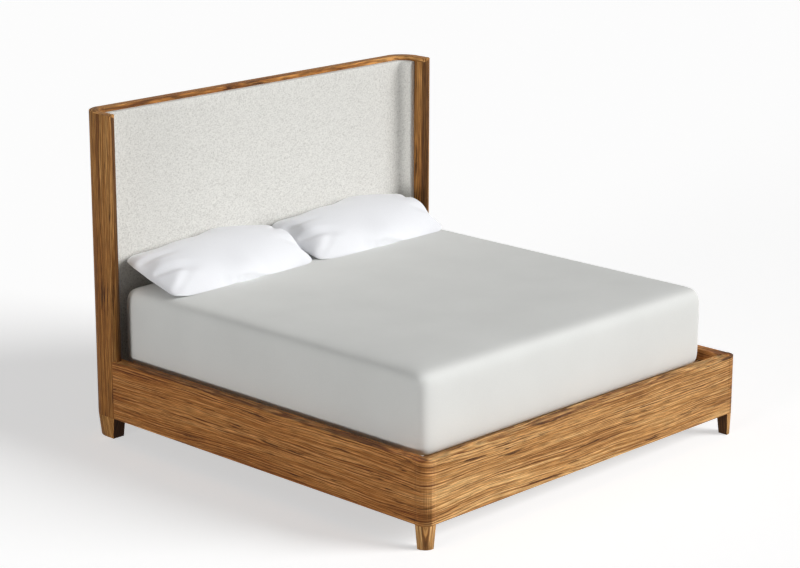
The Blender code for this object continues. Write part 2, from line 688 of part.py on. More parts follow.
def build_pillows():
    """Two pillows pressed flat on the mattress below, their backs raised towards the lining."""
    turn = Matrix.Rotation(PILLOW_TURN, 4, "Z") @ Matrix.Rotation(PILLOW_TILT, 4, "X")
    spacing = PILLOW_WIDTH + PILLOW_BETWEEN_GAP
    front_drop = PILLOW_DEPTH / 2 * math.sin(PILLOW_TILT)
    centre_z = MATTRESS_TOP + PILLOW_SEAM_LIFT + front_drop
    for label, side in SIDES:
        form = pillow_form()
        form.transform(turn)
        rearmost = max(point.co.y for point in form.verts)
        centre = (side * spacing / 2 + PILLOW_PAIR_OFFSET, PAD_FACE_Y - PILLOW_HEAD_CLEARANCE - rearmost, centre_z)
        form.transform(Matrix.Translation(centre))
        for point in form.verts:
            point.co.z = max(point.co.z, mattress_height(point.co) + PILLOW_REST_GAP)
        pillow = add_piece(f"pillow_{label}", form, "white_cotton", math.radians(60))
        move_origin(pillow, (centre[0], centre[1], MATTRESS_TOP))


def main():
    clear_scene()
    rails = build_rails()
    wings = build_shell()
    build_lining()
    build_head_rail()
    build_feet()
    build_deck()
    build_beam()
    build_brackets(rails, wings)
    build_mattress()
    build_pillows()


main()
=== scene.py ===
"""Looks of the shelter bed: oiled teak frame, linen lining, foam mattress and two pillows."""
import math

import bmesh
import bpy
from mathutils import Matrix, Vector


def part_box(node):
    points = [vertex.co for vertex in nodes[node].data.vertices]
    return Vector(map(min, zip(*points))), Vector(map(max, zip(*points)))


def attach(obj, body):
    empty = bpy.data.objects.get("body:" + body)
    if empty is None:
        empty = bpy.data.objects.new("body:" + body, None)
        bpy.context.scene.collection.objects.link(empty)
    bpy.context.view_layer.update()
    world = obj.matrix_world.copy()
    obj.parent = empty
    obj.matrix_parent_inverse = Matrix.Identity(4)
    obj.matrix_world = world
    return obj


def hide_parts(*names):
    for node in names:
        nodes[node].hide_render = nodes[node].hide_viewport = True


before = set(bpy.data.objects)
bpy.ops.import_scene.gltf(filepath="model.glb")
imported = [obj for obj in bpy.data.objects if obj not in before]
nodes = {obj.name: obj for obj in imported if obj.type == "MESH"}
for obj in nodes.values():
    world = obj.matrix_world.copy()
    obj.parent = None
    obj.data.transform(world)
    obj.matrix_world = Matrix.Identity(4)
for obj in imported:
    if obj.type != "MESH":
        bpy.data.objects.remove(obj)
scene = bpy.context.scene
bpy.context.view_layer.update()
slots = {name: piece.material_slots[0].material.name for name, piece in nodes.items()}

# Sizes shared with the frame, in metres
RAIL_CORNER = (1.022, 1.057, 0.048)
SHELL_CORNER = (0.951, 0.986, 0.119)
LIPPING = 1.5085
PAD_OUTER = 0.0707
PAD_THICKNESS = 0.035
PAD_FRONT, PAD_BASE, PAD_TOP = 0.963, 0.322, 1.539
PAD_BACK = SHELL_CORNER[1] + PAD_OUTER
BOARD_WINDOW = (0.9113, 0.3617, 1.4993)
BOARD_RECESS = 0.0063
COVER_WIDTH, COVER_DEPTH, COVER_VOLUME = 0.985, 0.50, 0.030
PILLOW_WIDTH, PILLOW_DEPTH = 0.914, 0.430
PILLOW_CROWN, PILLOW_BASE = 0.112, 0.050
PILLOW_TILT, PILLOW_TURN = math.radians(17.0), math.radians(1.0)
PRESS = 0.006
# Creases of a pillow's top: start and end as shares of its half width and half depth, and how deep they cut
CREASES = (((-0.94, -0.10), (-0.50, -0.52), 0.32), ((-0.93, -0.78), (-0.60, -0.40), 0.26),
           ((-0.92, 0.42), (-0.58, 0.12), 0.28), ((0.94, -0.50), (0.60, -0.24), 0.24),
           ((0.93, 0.30), (0.66, 0.06), 0.20))
CREASE_WIDTH = 0.028


def colour(code):
    """A colour as written in sRGB, as the linear values that a shader takes."""
    parts = [int(code[i:i + 2], 16) / 255 for i in (0, 2, 4)]
    return [p / 12.92 if p <= 0.04045 else ((p + 0.055) / 1.055) ** 2.4 for p in parts] + [1.0]


# ---------------------------------------------------------------- finishes

def add(tree, kind, sockets=None, stops=None, **settings):
    """One shader node with its settings, its colour stops and what feeds its sockets."""
    made = tree.nodes.new("ShaderNode" + kind)
    for name, value in settings.items():
        setattr(made, name, value)
    for socket, value in (sockets or {}).items():
        if isinstance(value, bpy.types.NodeSocket):
            tree.links.new(value, made.inputs[socket])
        else:
            made.inputs[socket].default_value = value
    if stops:
        ramp = made.color_ramp.elements
        while len(ramp) < len(stops):
            ramp.new(0.5)
        for element, (place, tint) in zip(ramp, stops):
            element.position = place
            element.color = colour(tint) if isinstance(tint, str) else (tint, tint, tint, 1)
    return made


def blank(name):
    """A new material with only its shader and output."""
    made = bpy.data.materials.new(name)
    made.use_nodes = True
    shader = next(n for n in made.node_tree.nodes if n.type == "BSDF_PRINCIPLED")
    return made, made.node_tree, shader


def feed(tree, shader, **sockets):
    """Values or links for a shader's sockets, named with underscores for spaces."""
    for name, value in sockets.items():
        socket = shader.inputs[name.replace("_", " ")]
        if isinstance(value, bpy.types.NodeSocket):
            tree.links.new(value, socket)
        else:
            socket.default_value = value


def round_the_corner(tree, corner, towards):
    """Grain coordinates that turn with a rounded corner: along the run, height, depth below the skin."""
    corner_x, corner_y, radius = corner
    place = add(tree, "TexCoord").outputs["Object"]
    part = add(tree, "SeparateXYZ", {0: place})
    width = add(tree, "Math", {0: part.outputs[0]}, operation="ABSOLUTE").outputs[0]
    length = add(tree, "Math", {0: part.outputs[1], 1: towards}, operation="MULTIPLY").outputs[0]
    past_x = add(tree, "Math", {0: width, 1: corner_x}, operation="SUBTRACT").outputs[0]
    past_y = add(tree, "Math", {0: length, 1: corner_y}, operation="SUBTRACT").outputs[0]
    out_x = add(tree, "Math", {0: past_x, 1: 0.0}, operation="MAXIMUM").outputs[0]
    out_y = add(tree, "Math", {0: past_y, 1: 0.0}, operation="MAXIMUM").outputs[0]
    turn = add(tree, "Math", {0: out_x, 1: out_y}, operation="ARCTAN2").outputs[0]
    flat_x = add(tree, "Math", {0: width, 1: corner_x}, operation="MINIMUM").outputs[0]
    flat_y = add(tree, "Math", {0: past_y, 1: 0.0}, operation="MINIMUM").outputs[0]
    bent = add(tree, "Math", {0: turn, 1: radius, 2: flat_x}, operation="MULTIPLY_ADD").outputs[0]
    along = add(tree, "Math", {0: bent, 1: flat_y}, operation="SUBTRACT").outputs[0]
    side = add(tree, "Math", {0: part.outputs[0]}, operation="SIGN").outputs[0]
    along = add(tree, "Math", {0: along, 1: side}, operation="MULTIPLY").outputs[0]
    reach = add(tree, "CombineXYZ", {0: out_x, 1: out_y}).outputs[0]
    reach = add(tree, "VectorMath", {0: reach}, operation="LENGTH").outputs["Value"]
    within = add(tree, "Math", {0: past_x, 1: past_y}, operation="MAXIMUM").outputs[0]
    within = add(tree, "Math", {0: within, 1: 0.0}, operation="MINIMUM").outputs[0]
    depth = add(tree, "Math", {0: reach, 1: within}, operation="ADD").outputs[0]
    return along, part.outputs[2], depth


def oiled_teak(name, grain, tones, shade, contrast=1.0):
    """Teak, planed, sanded and oiled: parallel growth lines, dark mineral streaks, open pores."""
    made, tree, shader = blank(name)
    run = grain(tree)
    drift = add(tree, "Mapping", {"Vector": run, "Scale": (0.9, 4, 4)}).outputs[0]
    drift = add(tree, "TexNoise", {"Vector": drift, "Scale": 1.0, "Detail": 3.0, "Roughness": 0.4})
    swayed = add(tree, "VectorMath", {0: drift.outputs["Color"], 1: (0, 0.11, 0.06), 2: run},
                 operation="MULTIPLY_ADD").outputs[0]
    pressed = add(tree, "Mapping", {"Vector": swayed, "Scale": (0.09, 1, 1)}).outputs[0]
    lines = add(tree, "TexWave", {"Vector": pressed, "Scale": 25.0, "Distortion": 6.0, "Detail": 2.5,
                                  "Detail Scale": 1.5}, bands_direction="Y", wave_profile="SAW")
    lines = add(tree, "ValToRGB", {0: lines.outputs["Fac"]},
                stops=[(0.0, 1.0), (0.14, 0.9), (0.34, 0.1), (0.94, 0.0), (1.0, 1.0)]).outputs[0]
    patch = add(tree, "Mapping", {"Vector": swayed, "Scale": (0.9, 26, 22)}).outputs[0]
    patch = add(tree, "TexNoise", {"Vector": patch, "Scale": 1.0, "Detail": 3.0, "Roughness": 0.6})
    patch = add(tree, "MapRange", {"Value": patch.outputs["Fac"], "From Min": 0.42, "From Max": 0.64,
                                   "To Min": 0.22, "To Max": 1.1 * contrast}).outputs[0]
    lines = add(tree, "Math", {0: lines, 1: patch}, operation="MULTIPLY").outputs[0]
    board = add(tree, "Mapping", {"Vector": swayed, "Scale": (0.9, 9, 9)}).outputs[0]
    board = add(tree, "TexNoise", {"Vector": board, "Scale": 1.0, "Detail": 3.0, "Roughness": 0.6})
    streaks = add(tree, "Mapping", {"Vector": swayed, "Scale": (1.5, 260, 60)}).outputs[0]
    streaks = add(tree, "TexNoise", {"Vector": streaks, "Scale": 1.0, "Detail": 4.0, "Roughness": 0.65})
    tone = add(tree, "Mix", {"Factor": 0.75, 2: board.outputs["Fac"], 3: streaks.outputs["Fac"]})
    base = add(tree, "ValToRGB", {0: tone.outputs[0]},
               stops=[(0.38, tones[3]), (0.45, tones[0]), (0.52, tones[1]), (0.60, tones[2])]).outputs[0]
    base = add(tree, "Mix", {0: lines, 6: base, 7: colour(tones[3])}, data_type="RGBA").outputs[2]
    mineral = add(tree, "Mapping", {"Vector": swayed, "Scale": (3.4, 58, 40), "Location": (3.1, 0, 0)}).outputs[0]
    mineral = add(tree, "TexNoise", {"Vector": mineral, "Scale": 1.0, "Detail": 4.0, "Roughness": 0.62})
    mineral = add(tree, "MapRange", {"Value": mineral.outputs["Fac"], "From Min": 0.60, "From Max": 0.66,
                                     "To Max": 0.9 * contrast}).outputs[0]
    base = add(tree, "Mix", {0: mineral, 6: base, 7: colour(tones[4])}, data_type="RGBA").outputs[2]
    pores = add(tree, "Mapping", {"Vector": run, "Scale": (14.0, 320, 60)}).outputs[0]
    pores = add(tree, "TexNoise", {"Vector": pores, "Scale": 1.0, "Detail": 3.0})
    pores = add(tree, "MapRange", {"Value": pores.outputs["Fac"], "From Min": 0.36, "From Max": 0.64,
                                   "To Min": 0.60, "To Max": 1.21}).outputs[0]
    # Darkens part of the wood towards a colour. On the side rails and on the feet's faces turned under the bed this is
    # painted shade. On the shell the upright boards darken towards the bottom and the top lipping towards its middle;
    # on the noses the inner part darkens.
    channel, start, end, darker_colour = shade
    reach = add(tree, "SeparateXYZ", {0: run}).outputs[channel]
    reach = add(tree, "Math", {0: reach}, operation="ABSOLUTE").outputs[0]
    reach = add(tree, "MapRange", {"Value": reach, "From Min": start, "From Max": end}).outputs[0]
    darkened = add(tree, "ValToRGB", {0: reach}, stops=[(0.0, "FFFFFF"), (1.0, darker_colour)]).outputs[0]
    base = add(tree, "VectorMath", {0: base, 1: darkened}, operation="MULTIPLY").outputs[0]
    base = add(tree, "VectorMath", {0: base, "Scale": pores}, operation="SCALE").outputs[0]
    relief = add(tree, "Math", {0: lines, 1: -0.6, 2: pores}, operation="MULTIPLY_ADD").outputs[0]
    skin = add(tree, "Bump", {"Strength": 0.25, "Distance": 0.0006, "Height": relief}).outputs[0]
    gloss = add(tree, "MapRange", {"Value": streaks.outputs["Fac"], "To Min": 0.62, "To Max": 0.78}).outputs[0]
    feed(tree, shader, Base_Color=base, Roughness=gloss, IOR=1.45, Specular_IOR_Level=0.25, Normal=skin)
    return made


TEAK_TONES = ("B47D42", "D8A263", "F2C586", "6B3D1C", "4A2712")
SHELL_TONES = ("93602F", "B98346", "DCA766", "5C3616", "3A200D")


def along_rail(tree):
    """Grain that runs level and turns with the frame's foot corners."""
    along, height, depth = round_the_corner(tree, RAIL_CORNER, -1.0)
    return add(tree, "CombineXYZ", {0: along, 1: height, 2: depth}).outputs[0]


def up_shell(tree):
    """Grain that runs upright and turns with the shell's rear corners, but level in its top lipping."""
    along, height, depth = round_the_corner(tree, SHELL_CORNER, 1.0)
    across = add(tree, "Math", {0: along, 1: depth}).outputs[0]
    upright = add(tree, "CombineXYZ", {0: height, 1: across, 2: depth}).outputs[0]
    lipping = add(tree, "CombineXYZ", {0: along, 1: depth, 2: height}).outputs[0]
    top = add(tree, "Math", {0: depth, 1: -0.43, 2: height}, operation="MULTIPLY_ADD").outputs[0]
    top = add(tree, "Math", {0: top, 1: LIPPING}, operation="GREATER_THAN").outputs[0]
    return add(tree, "Mix", {0: top, 4: upright, 5: lipping}, data_type="VECTOR").outputs[1]


def up_foot(tree):
    """Grain that runs up a foot. Its depth is positive only on the faces turned under the bed, where the finish paints
    shade.
    """
    place = add(tree, "TexCoord").outputs["Object"]
    facing = add(tree, "NewGeometry").outputs["True Normal"]
    inward = add(tree, "VectorMath", {0: place, 1: facing}, operation="DOT_PRODUCT").outputs["Value"]
    inward = add(tree, "MapRange", {"Value": inward, "From Min": -0.3, "From Max": -0.5}).outputs[0]
    part = add(tree, "SeparateXYZ", {0: place})
    width = add(tree, "Math", {0: part.outputs[0], 1: part.outputs[1]}, operation="ADD").outputs[0]
    return add(tree, "CombineXYZ", {0: part.outputs[2], 1: width, 2: inward}).outputs[0]


def across_slat(tree):
    """Grain that runs across the bed, along each slat."""
    place = add(tree, "TexCoord").outputs["Object"]
    return add(tree, "Mapping", {"Vector": place, "Location": (0.7, 0.3, 0.1)}).outputs[0]


def sawn_beech(name):
    """Beech, sawn and sanded: pale pinkish straw with short darker flecks."""
    made, tree, shader = blank(name)
    place = across_slat(tree)
    flecks = add(tree, "Mapping", {"Vector": place, "Scale": (24, 320, 320)}).outputs[0]
    flecks = add(tree, "TexNoise", {"Vector": flecks, "Scale": 1.0, "Detail": 3.0})
    bands = add(tree, "Mapping", {"Vector": place, "Scale": (2, 30, 30)}).outputs[0]
    bands = add(tree, "TexNoise", {"Vector": bands, "Scale": 1.0, "Detail": 3.0})
    tone = add(tree, "Mix", {"Factor": 0.4, 2: bands.outputs["Fac"], 3: flecks.outputs["Fac"]})
    base = add(tree, "ValToRGB", {0: tone.outputs[0]},
               stops=[(0.3, "B98F62"), (0.5, "CFA97A"), (0.68, "DDBE94")]).outputs[0]
    skin = add(tree, "Bump", {"Strength": 0.3, "Distance": 0.0005, "Height": flecks.outputs["Fac"]}).outputs[0]
    feed(tree, shader, Base_Color=base, Roughness=0.6, IOR=1.47, Normal=skin)
    return made


def zinc_plated_steel(name):
    """Zinc-plated pressed steel: cool grey with a faint crystalline mottle."""
    made, tree, shader = blank(name)
    place = add(tree, "TexCoord").outputs["Object"]
    mottle = add(tree, "TexVoronoi", {"Vector": place, "Scale": 260.0})
    cloud = add(tree, "TexNoise", {"Vector": place, "Scale": 60.0, "Detail": 3.0})
    base = add(tree, "Mix", {0: mottle.outputs["Color"], 6: colour("9C9FA2"), 7: colour("B9BCBD")},
               data_type="RGBA").outputs[2]
    gloss = add(tree, "MapRange", {"Value": cloud.outputs["Fac"], "To Min": 0.28, "To Max": 0.5}).outputs[0]
    feed(tree, shader, Base_Color=base, Metallic=1.0, Roughness=gloss)
    return made


def moulded_nylon(name):
    """Black nylon, moulded: deep grey with a fine spark-eroded grain."""
    made, tree, shader = blank(name)
    place = add(tree, "TexCoord").outputs["Object"]
    grit = add(tree, "TexNoise", {"Vector": place, "Scale": 900.0, "Detail": 2.0})
    base = add(tree, "ValToRGB", {0: grit.outputs["Fac"]}, stops=[(0.3, "1B1B1C"), (0.7, "29292A")]).outputs[0]
    skin = add(tree, "Bump", {"Strength": 0.35, "Distance": 0.0003, "Height": grit.outputs["Fac"]}).outputs[0]
    feed(tree, shader, Base_Color=base, Roughness=0.55, IOR=1.53, Normal=skin)
    return made


def birch_plywood(name):
    """Birch plywood, sanded: pale face veneer, its plies showing as lines on the edge."""
    made, tree, shader = blank(name)
    place = add(tree, "TexCoord").outputs["Object"]
    plies = add(tree, "TexWave", {"Vector": place, "Scale": 210.0}, bands_direction="Y")
    face = add(tree, "Mapping", {"Vector": place, "Scale": (60, 60, 2)}).outputs[0]
    face = add(tree, "TexNoise", {"Vector": face, "Scale": 1.0, "Detail": 4.0})
    tone = add(tree, "Mix", {"Factor": 0.3, 2: face.outputs["Fac"], 3: plies.outputs["Fac"]})
    base = add(tree, "ValToRGB", {0: tone.outputs[0]},
               stops=[(0.3, "B89466"), (0.5, "D3B488"), (0.7, "E2CBA4")]).outputs[0]
    feed(tree, shader, Base_Color=base, Roughness=0.62, IOR=1.47)
    return made


def woven_linen(name):
    """Heavy linen and cotton, plain woven with slubs: flecked off-white with a dry nap."""
    made, tree, shader = blank(name)
    place = add(tree, "TexCoord").outputs["Object"]
    weft = add(tree, "Mapping", {"Vector": place, "Scale": (80, 85, 300)}).outputs[0]
    weft = add(tree, "TexNoise", {"Vector": weft, "Scale": 1.0, "Detail": 2.0})
    warp = add(tree, "Mapping", {"Vector": place, "Scale": (300, 310, 80)}).outputs[0]
    warp = add(tree, "TexNoise", {"Vector": warp, "Scale": 1.0, "Detail": 2.0})
    weave = add(tree, "Mix", {"Factor": 0.5, 2: weft.outputs["Fac"], 3: warp.outputs["Fac"]}).outputs[0]
    base = add(tree, "ValToRGB", {0: weave},
               stops=[(0.36, "BDBBB6"), (0.47, "D2D1CC"), (0.60, "E0DFDA")]).outputs[0]
    skin = add(tree, "Bump", {"Strength": 0.4, "Distance": 0.0010, "Height": weave}).outputs[0]
    feed(tree, shader, Base_Color=base, Roughness=0.92, Sheen_Weight=0.12, Sheen_Roughness=0.6, Normal=skin)
    return made


def knitted_ticking(name):
    """Polyester knit ticking over foam: grey-white, matt, with a fine rib."""
    made, tree, shader = blank(name)
    place = add(tree, "TexCoord").outputs["Object"]
    cloud = add(tree, "TexNoise", {"Vector": place, "Scale": 3.0, "Detail": 3.0})
    knit = add(tree, "TexNoise", {"Vector": place, "Scale": 420.0, "Detail": 2.0})
    tone = add(tree, "Mix", {"Factor": 0.5, 2: cloud.outputs["Fac"], 3: knit.outputs["Fac"]})
    base = add(tree, "ValToRGB", {0: tone.outputs[0]}, stops=[(0.3, "DCDDDA"), (0.7, "E6E7E4")]).outputs[0]
    skin = add(tree, "Bump", {"Strength": 0.25, "Distance": 0.0006, "Height": knit.outputs["Fac"]}).outputs[0]
    feed(tree, shader, Base_Color=base, Roughness=0.85, Sheen_Weight=0.1, Sheen_Roughness=0.5, Normal=skin)
    return made


def cotton_percale(name):
    """Cotton percale, bleached and pressed: clean white with a close crisp weave."""
    made, tree, shader = blank(name)
    place = add(tree, "TexCoord").outputs["Object"]
    thread = add(tree, "TexNoise", {"Vector": place, "Scale": 700.0, "Detail": 2.0})
    rumple = add(tree, "TexNoise", {"Vector": place, "Scale": 9.0, "Detail": 2.0})
    height = add(tree, "Math", {0: thread.outputs["Fac"], 1: 0.1, 2: rumple.outputs["Fac"]},
                 operation="MULTIPLY_ADD").outputs[0]
    base = add(tree, "ValToRGB", {0: thread.outputs["Fac"]}, stops=[(0.3, "E3E4E8"), (0.7, "ECEDF0")]).outputs[0]
    skin = add(tree, "Bump", {"Strength": 0.3, "Distance": 0.004, "Height": height}).outputs[0]
    feed(tree, shader, Base_Color=base, Roughness=0.75, Sheen_Weight=0.15, Sheen_Roughness=0.4, Normal=skin)
    return made


finishes = {
    # From the foot corners on, the side rails are painted darker than the foot rail: painted shade on the sides that
    # face away from the key light.
    "oiled_timber": oiled_teak("oiled_teak_rails", along_rail, TEAK_TONES, (0, 1.00, 1.08, "E8D2BE")),
    "shell_timber": oiled_teak("oiled_teak_shell", up_shell, SHELL_TONES, (0, 1.30, 0.70, "F4EADC")),
    # The feet's faces turned under the bed are painted darker: painted shade.
    "front_foot": oiled_teak("oiled_teak_front_feet", up_foot, TEAK_TONES, (2, 0.0, 1.0, "665A50"), 0.6),
    "rear_foot": oiled_teak("oiled_teak_rear_feet", up_foot, SHELL_TONES, (2, 0.0, 1.0, "766A60"), 0.6),
    "dark_timber": oiled_teak("oiled_teak_noses", up_shell, SHELL_TONES, (2, 0.105, 0.098, "A09890")),
    "slat_timber": sawn_beech("sawn_beech"),
    "plain_steel": zinc_plated_steel("zinc_plated_steel"),
    "black_nylon": moulded_nylon("moulded_nylon"),
    "woven_linen": woven_linen("woven_linen"),
    "pad_plywood": birch_plywood("birch_plywood"),
    "knit_ticking": knitted_ticking("knitted_ticking"),
    "white_cotton": cotton_percale("cotton_percale"),
}
SHELL_NODES = ("back_panel", "shell_corner", "wing_left", "wing_right")


def finish_for(node_name):
    """The finish and the record's slot of a node."""
    slot = slots[node_name]
    if node_name.startswith(SHELL_NODES):
        return finishes["shell_timber"], slot
    for foot in ("front_foot", "rear_foot"):
        if node_name.startswith(foot):
            return finishes[foot], slot
    return finishes[slot], slot


# ---------------------------------------------------------------- pieces

def new_piece(name, mesh, node_name, body="frame"):
    """An object for a finished mesh, in a node's finish and in its place."""
    piece = bpy.data.objects.new(name, mesh)
    scene.collection.objects.link(piece)
    finish, slot = finish_for(node_name)
    mesh.materials.clear()
    mesh.materials.append(finish)
    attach(piece, body)
    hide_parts(node_name)
    return piece


def merged_copy(node_name):
    """A node's shape as one joined bmesh."""
    form = bmesh.new()
    form.from_mesh(nodes[node_name].data)
    bmesh.ops.remove_doubles(form, verts=form.verts[:], dist=1e-5)
    bmesh.ops.recalc_face_normals(form, faces=form.faces[:])
    return form


def to_mesh(name, form, sharp=math.radians(30)):
    """A finished bmesh as a smooth-shaded mesh, creased where it turns sharply."""
    mesh = bpy.data.meshes.new(name)
    form.to_mesh(mesh)
    form.free()
    mesh.shade_smooth()
    mesh.set_sharp_from_angle(angle=sharp)
    return mesh


def smooth_timber():
    """The turned and shaped timber pieces, without the facets of their solids."""
    for node_name in sorted(nodes):
        if node_name.startswith(("rail_corner", "shell_corner", "wing_nose", "front_foot", "rear_foot")):
            name = "shaped_" + node_name
            new_piece(name, to_mesh(name, merged_copy(node_name)), node_name)


def sharp_edges(form, angle):
    """The edges where a form turns by more than an angle."""
    return [e for e in form.edges if len(e.link_faces) == 2 and e.calc_face_angle() > angle]


def headboard_lining():
    """The padded lining: one upholstered board that turns both rear corners of the shell."""
    form = bmesh.new()
    corner_x, corner_y, _ = SHELL_CORNER
    inner = PAD_OUTER - PAD_THICKNESS
    ends = [(-corner_x - reach, PAD_FRONT, z) for reach, z in
            ((PAD_OUTER, PAD_BASE), (PAD_OUTER, PAD_TOP), (inner, PAD_TOP), (inner, PAD_BASE))]
    section = [form.verts.new(place) for place in ends]
    leading = section + [form.edges.new((a, b)) for a, b in zip(section, section[1:] + section[:1])]
    runs = [
        ((0, corner_y - PAD_FRONT, 0), 0, 3, (0, 0, 0)),
        ((0, 0, 0), -math.pi / 2, 12, (-corner_x, corner_y, 0)),
        ((2 * corner_x, 0, 0), 0, 60, (0, 0, 0)),
        ((0, 0, 0), -math.pi / 2, 12, (corner_x, corner_y, 0)),
        ((0, PAD_FRONT - corner_y, 0), 0, 3, (0, 0, 0)),
    ]
    for travel, angle, steps, centre in runs:
        step = Vector(travel) / steps
        made = bmesh.ops.spin(form, geom=leading, cent=centre, axis=(0, 0, 1), dvec=step, angle=angle, steps=steps)
        leading = made["geom_last"]
    bmesh.ops.holes_fill(form, edges=[e for e in form.edges if e.is_boundary], sides=4)
    bmesh.ops.recalc_face_normals(form, faces=form.faces[:])
    edges = sharp_edges(form, 1.0)
    bmesh.ops.bevel(form, geom=edges, offset=0.007, offset_type="OFFSET", segments=5, profile=0.5,
                    affect="EDGES", material=-1)
    rows = 40
    for row in range(1, rows):
        height = PAD_BASE + 0.012 + (PAD_TOP - PAD_BASE - 0.024) * row / rows
        bmesh.ops.bisect_plane(form, geom=form.verts[:] + form.edges[:] + form.faces[:],
                               plane_co=(0, 0, height), plane_no=(0, 0, 1))
    half, low, high = BOARD_WINDOW
    for place, facing in (((half, 0, 0), (1, 0, 0)), ((-half, 0, 0), (1, 0, 0)),
                          ((0, 0, low), (0, 0, 1)), ((0, 0, high), (0, 0, 1))):
        bmesh.ops.bisect_plane(form, geom=form.verts[:] + form.edges[:] + form.faces[:],
                               plane_co=place, plane_no=facing)
    window = [f for f in form.faces if f.normal.y > 0.9 and abs(f.calc_center_median().x) < half
              and low < f.calc_center_median().z < high and f.calc_center_median().y > PAD_BACK - 0.001]
    sunk = bmesh.ops.extrude_face_region(form, geom=window)
    moved = [v for v in sunk["geom"] if isinstance(v, bmesh.types.BMVert)]
    bmesh.ops.translate(form, verts=moved, vec=(0, -BOARD_RECESS, 0))
    bmesh.ops.delete(form, geom=window, context="FACES")
    face_y = PAD_BACK - PAD_THICKNESS
    for vert in form.verts:
        if vert.co.y < face_y + 0.001 and abs(vert.co.x) < corner_x and vert.co.y > face_y - 0.001:
            across = vert.co.x / corner_x
            up = (vert.co.z - (PAD_BASE + PAD_TOP) / 2) / ((PAD_TOP - PAD_BASE) / 2)
            vert.co.y -= 0.003 * max(1 - across ** 6, 0) * max(1 - up ** 6, 0)
    new_piece("linen_lining", to_mesh("linen_lining", form, math.radians(50)), "headboard_pad")


def soften(form, times):
    """Evens out a form's surface."""
    for _ in range(times):
        bmesh.ops.smooth_vert(form, verts=form.verts[:], factor=0.5, use_axis_x=True, use_axis_y=True, use_axis_z=True)


def span(form):
    """The lowest and highest corner of a form."""
    low = Vector([min(v.co[axis] for v in form.verts) for axis in range(3)])
    high = Vector([max(v.co[axis] for v in form.verts) for axis in range(3)])
    return low, high


def fit_to_box(form, low, high):
    """Stretches a form a little, so that it fills a box."""
    was_low, was_high = span(form)
    for vert in form.verts:
        for axis in range(3):
            share = (vert.co[axis] - was_low[axis]) / (was_high[axis] - was_low[axis])
            vert.co[axis] = low[axis] + share * (high[axis] - low[axis])


def stuffed(name, node_name, body, voxel, inset, cap, pressure):
    """A soft piece blown up from a slightly smaller copy of its solid, as filling pushes out a cover."""
    form = merged_copy(node_name)
    start = {v.index: v.normal.copy() for v in form.verts}
    for vert in form.verts:
        vert.co -= start[vert.index] * inset
    mesh = bpy.data.meshes.new(name)
    form.to_mesh(mesh)
    form.free()
    piece = bpy.data.objects.new(name, mesh)
    scene.collection.objects.link(piece)
    remesh = piece.modifiers.new("even", "REMESH")
    remesh.mode = "VOXEL"
    remesh.voxel_size = voxel
    even = bpy.data.meshes.new_from_object(piece.evaluated_get(bpy.context.evaluated_depsgraph_get()))
    piece.modifiers.clear()
    piece.data = even
    form = bmesh.new()
    form.from_mesh(even)
    soften(form, 6)
    form.to_mesh(even)
    form.free()
    rest = [v.co.copy() for v in even.vertices]
    cloth = piece.modifiers.new("fill", "CLOTH")
    cloth.settings.quality = 5
    cloth.settings.use_pressure = True
    cloth.settings.uniform_pressure_force = pressure
    cloth.settings.effector_weights.gravity = 0
    cloth.settings.tension_stiffness = 15
    cloth.settings.bending_stiffness = 0.5
    for step in range(1, 21):
        scene.frame_set(step)
    filled = bpy.data.meshes.new_from_object(piece.evaluated_get(bpy.context.evaluated_depsgraph_get()))
    piece.modifiers.clear()
    scene.frame_set(1)
    for vert, old in zip(filled.vertices, rest):
        move = vert.co - old
        vert.co = old + move * min(1.0, cap / max(move.length, 1e-9))
    piece.data = filled
    form = bmesh.new()
    form.from_mesh(piece.data)
    soften(form, 1)
    bpy.data.objects.remove(piece)
    fit_to_box(form, *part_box(node_name))
    piece = new_piece(name, to_mesh(name, form, math.radians(80)), node_name, body)
    smoothing = piece.modifiers.new("round", "SUBSURF")
    smoothing.levels = smoothing.render_levels = 1
    return piece


def sewn_pillow():
    """A pillow lying flat: two sheets sewn together round their edge, then filled to a set volume."""
    form = bmesh.new()
    bmesh.ops.create_grid(form, x_segments=100, y_segments=50, size=0.5)
    for vert in form.verts:
        across, deep = vert.co.x * 2, vert.co.y * 2
        vert.co.x = COVER_WIDTH / 2 * across * (1 - 0.02 * deep ** 2 - 0.07 * deep ** 8)
        vert.co.y = COVER_DEPTH / 2 * deep * (1 - 0.03 * across ** 2 - 0.17 * across ** 14)
    upper = bmesh.ops.extrude_face_region(form, geom=form.faces[:])
    moved = [v for v in upper["geom"] if isinstance(v, bmesh.types.BMVert)]
    bmesh.ops.translate(form, verts=moved, vec=(0, 0, 0.008))
    bmesh.ops.recalc_face_normals(form, faces=form.faces[:])
    mesh = bpy.data.meshes.new("cover")
    form.to_mesh(mesh)
    form.free()
    piece = bpy.data.objects.new("cover", mesh)
    scene.collection.objects.link(piece)
    cloth = piece.modifiers.new("fill", "CLOTH")
    cloth.settings.quality = 5
    cloth.settings.use_pressure = True
    cloth.settings.use_pressure_volume = True
    cloth.settings.target_volume = COVER_VOLUME
    cloth.settings.pressure_factor = 1.0
    cloth.settings.uniform_pressure_force = 0.0
    cloth.settings.effector_weights.gravity = 0
    cloth.settings.tension_stiffness = cloth.settings.compression_stiffness = 15
    cloth.settings.shear_stiffness = 5
    cloth.settings.bending_stiffness = 0.5
    for step in range(1, 31):
        scene.frame_set(step)
    filled = bpy.data.meshes.new_from_object(piece.evaluated_get(bpy.context.evaluated_depsgraph_get()))
    bpy.data.objects.remove(piece)
    scene.frame_set(1)
    return filled


def mattress_height(place, low, high):
    """Height of the mattress's crowned top under a place."""
    inset = min(place.x - low.x, high.x - place.x, place.y - low.y, high.y - place.y)
    span_x = (high.x - low.x) / 2 - 0.050
    share = min(max((inset - 0.050) / span_x, 0), 0.9) / 0.9
    return high.z - 0.008 + 0.008 * math.sin(math.pi / 2 * share)


